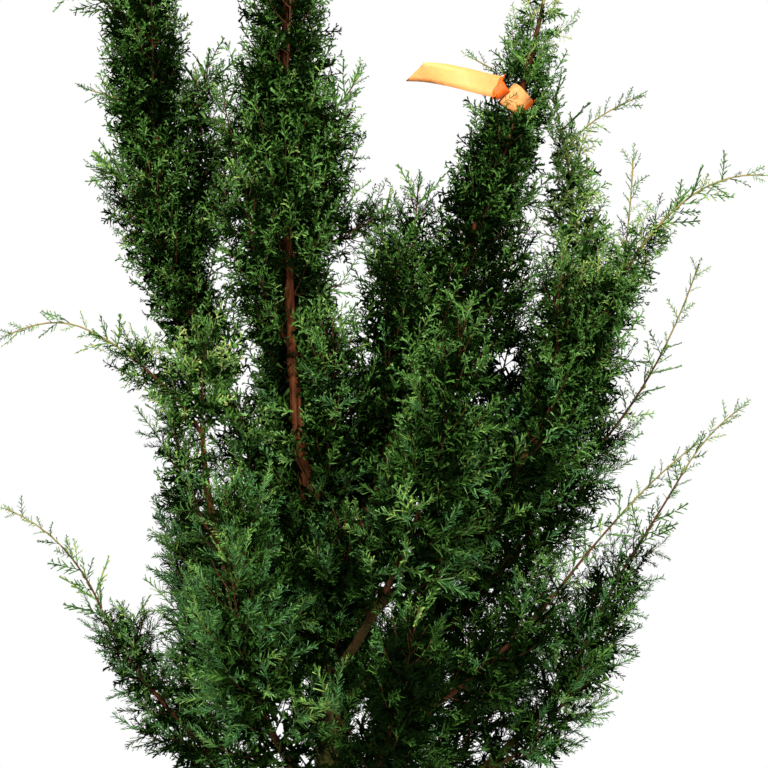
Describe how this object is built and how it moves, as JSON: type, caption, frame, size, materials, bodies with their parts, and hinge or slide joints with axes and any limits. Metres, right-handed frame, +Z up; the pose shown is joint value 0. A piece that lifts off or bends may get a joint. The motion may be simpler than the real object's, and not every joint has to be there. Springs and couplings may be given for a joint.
{
  "type": "chinese juniper",
  "caption": "Chinese juniper with a low-forking trunk, tall upright leaders and arching boughs in dense scale foliage with long young shoots, and a blank orange marking tape.",
  "frame": {"origin": "centre of the flat cut under the trunk, at ground level", "axes": "+Z up along the trunk, +X towards the side that the longest boughs reach to, -Y towards the front that the picture shows"},
  "size_m": [1.0517, 0.8302, 1.75],
  "materials": {
    "bark": "matte",
    "foliage": "matte",
    "young_foliage": "matte",
    "tape": "satin"
  },
  "bodies": {
    "root": {"back_bough": "bark", "back_bough_foliage": "foliage", "back_left_bough": "bark", "back_left_bough_foliage": "foliage", "back_right_bough": "bark", "back_right_bough_foliage": "foliage", "front_bough": "bark", "front_bough_foliage": "foliage", "front_left_bough": "bark", "front_left_bough_foliage": "foliage", "front_right_bough": "bark", "front_right_bough_foliage": "foliage", "left_bough": "bark", "left_bough_foliage_1": "foliage", "left_bough_foliage_2": "foliage", "left_bough_tip": "foliage", "left_leader": "bark", "left_leader_foliage_1": "foliage", "left_leader_foliage_2": "foliage", "left_leader_foliage_3": "foliage", "left_leader_foliage_4": "foliage", "left_leader_foliage_5": "foliage", "left_leader_tip": "foliage", "left_shoot_foliage": "young_foliage", "low_back_bough": "bark", "low_back_bough_foliage": "foliage", "low_left_bough": "bark", "low_left_bough_foliage": "foliage", "low_right_bough": "bark", "low_right_bough_foliage": "foliage", "lowest_right_bough": "bark", "lowest_right_bough_foliage_1": "foliage", "lowest_right_bough_foliage_2": "foliage", "lowest_right_bough_tip": "foliage", "marking_tape": "tape", "right_bough": "bark", "right_bough_foliage": "foliage", "right_leader": "bark", "right_leader_foliage_1": "foliage", "right_leader_foliage_2": "foliage", "right_leader_foliage_3": "foliage", "right_leader_foliage_4": "foliage", "right_leader_foliage_5": "foliage", "right_leader_tip": "foliage", "right_plume": "bark", "right_plume_foliage": "young_foliage", "trunk": "bark", "trunk_foliage_1": "foliage", "trunk_foliage_2": "foliage", "trunk_foliage_3": "foliage", "trunk_foliage_4": "foliage", "trunk_foliage_5": "foliage", "trunk_foliage_6": "foliage", "trunk_foliage_7": "foliage", "trunk_foliage_8": "foliage", "trunk_tip": "foliage", "upper_right_bough": "bark", "upper_right_bough_foliage_1": "foliage", "upper_right_bough_foliage_2": "foliage", "upper_right_bough_tip": "young_foliage"}
  },
  "joints": []
}
